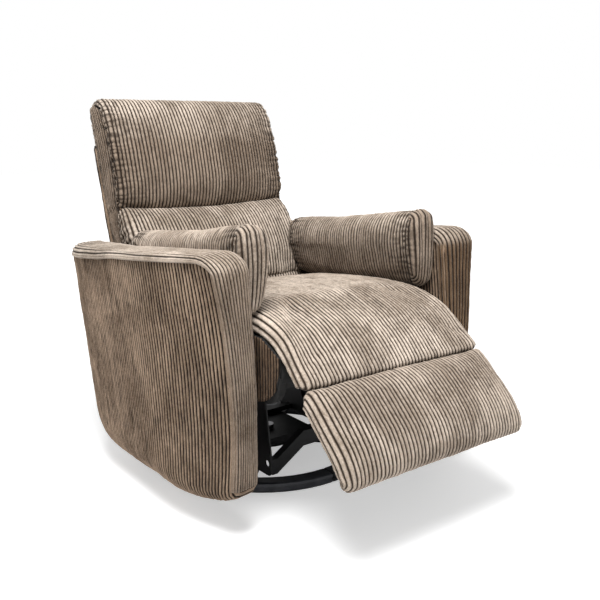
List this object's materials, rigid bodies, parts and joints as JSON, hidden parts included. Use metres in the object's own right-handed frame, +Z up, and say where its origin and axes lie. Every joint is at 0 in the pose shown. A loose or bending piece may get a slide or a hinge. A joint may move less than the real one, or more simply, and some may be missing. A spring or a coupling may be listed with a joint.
{
  "type": "glider recliner",
  "caption": "padded corduroy armchair on a round swivel ring: glides fore and aft on hanging links, lifts a padded leg rest and leans its back",
  "frame": {"origin": "on the floor, under the middle of the whole chair's footprint with its leg rest part way up", "axes": "+Z up, the chair faces -Y, +X is the sitter's left"},
  "size_m": [0.8908, 1.2164, 1.0103],
  "materials": {
    "corduroy": "wide-wale corduroy, brown-grey, ribs with a soft pile",
    "corduroy_dark": "the same corduroy seen against its nap",
    "grey_steel": "satin dark grey paint",
    "bright_steel": "plain zinc-plated steel",
    "black_steel": "satin black paint",
    "pine": "bare planed softwood",
    "plywood": "bare plywood",
    "covered_board": "plywood covered in the same corduroy",
    "black_plastic": "matt moulded plastic",
    "grey_plastic": "matt moulded plastic"
  },
  "bodies": {
    "base": {"ring_half_left": "grey_steel", "ring_half_right": "grey_steel", "ring_joint_front": "black_steel", "ring_joint_rear": "black_steel", "base_cross": "black_steel", "bearing_race_lower": "bright_steel", "swivel_spindle": "bright_steel"},
    "swivel_carriage": {"bearing_race_upper": "bright_steel", "glide_base_plate": "black_steel", "glide_bar_front": "black_steel", "glide_bar_rear": "black_steel", "glide_stand_left": "black_steel", "glide_stand_right": "black_steel"},
    "front_links": {"glide_link_front_left": "grey_steel", "glide_link_front_right": "grey_steel"},
    "rear_links": {"glide_link_rear_left": "grey_steel", "glide_link_rear_right": "grey_steel"},
    "chassis": {"side_plate_left": "black_steel", "side_plate_right": "black_steel", "front_bracket": "black_steel", "cross_tube_front": "black_steel", "cross_tube_rear": "black_steel", "seat_rail_left": "pine", "seat_rail_right": "pine", "seat_rail_front": "pine", "seat_rail_rear": "pine", "seat_spring_1": "bright_steel", "seat_spring_2": "bright_steel", "seat_spring_3": "bright_steel", "seat_cushion": "corduroy", "arm_left": "corduroy_dark", "arm_right": "corduroy_dark", "arm_board_left": "plywood", "arm_board_right": "plywood", "arm_pillow_left": "corduroy", "arm_pillow_right": "corduroy", "control_housing": "black_plastic", "actuator_tube": "grey_steel", "gearbox": "black_plastic", "motor": "black_steel"},
    "leg_rest": {"torque_tube": "grey_steel", "leg_arm_left": "black_steel", "leg_arm_right": "black_steel", "foot_board": "plywood", "chaise_pad": "corduroy", "foot_pad": "corduroy"},
    "drive": {"drive_rod": "grey_steel"},
    "back": {"back_bracket_left": "black_steel", "back_bracket_right": "black_steel", "back_post_left": "pine", "back_post_right": "pine", "back_rail_top": "pine", "back_rail_lower": "pine", "back_wing_left": "covered_board", "back_wing_right": "covered_board", "back_outside_panel": "corduroy_dark", "lumbar_cushion": "corduroy", "head_pillow": "corduroy"},
    "button_open": {"button_open": "grey_plastic"},
    "button_close": {"button_close": "grey_plastic"}
  },
  "joints": [
    {"name": "swivel", "type": "hinge", "parent": "base", "child": "swivel_carriage", "pos_m": [0, 0.10846, 0], "axis": [0, 0, 1], "continuous": true},
    {"name": "front_link_swing", "type": "hinge", "parent": "swivel_carriage", "child": "front_links", "pos_m": [0, -0.02654, 0.215], "axis": [1, 0, 0], "range_deg": [-25, 25]},
    {"name": "chassis_level", "type": "hinge", "parent": "front_links", "child": "chassis", "pos_m": [0, -0.02654, 0.095], "axis": [1, 0, 0], "range_deg": [-26, 26]},
    {"name": "rear_link_swing", "type": "hinge", "parent": "swivel_carriage", "child": "rear_links", "pos_m": [0, 0.24346, 0.215], "axis": [1, 0, 0], "range_deg": [-26, 26]},
    {"name": "leg_rest_lift", "type": "hinge", "parent": "chassis", "child": "leg_rest", "pos_m": [0, -0.28154, 0.366], "axis": [-1, 0, 0], "range_deg": [-47, 38]},
    {"name": "drive_rod_slide", "type": "slide", "parent": "chassis", "child": "drive", "axis": [0, -1, 0], "range_m": [-0.0545, 0.0445]},
    {"name": "back_recline", "type": "hinge", "parent": "chassis", "child": "back", "pos_m": [0, 0.35146, 0.362], "axis": [-1, 0, 0], "range_deg": [0, 35]},
    {"name": "button_open_press", "type": "slide", "parent": "chassis", "child": "button_open", "axis": [-0.9806, 0.1959, 0], "range_m": [0, 0.0015], "stiffness_N_per_m": 400},
    {"name": "button_close_press", "type": "slide", "parent": "chassis", "child": "button_close", "axis": [-0.9806, 0.1959, 0], "range_m": [0, 0.0015], "stiffness_N_per_m": 400}
  ],
  "couplings": [
    {"joint": "chassis_level", "follows": "front_link_swing", "ratio": -1},
    {"joint": "rear_link_swing", "follows": "front_link_swing", "ratio": 1},
    {"joint": "drive_rod_slide", "follows": "leg_rest_lift", "m_per_rad": 0.06475}
  ]
}
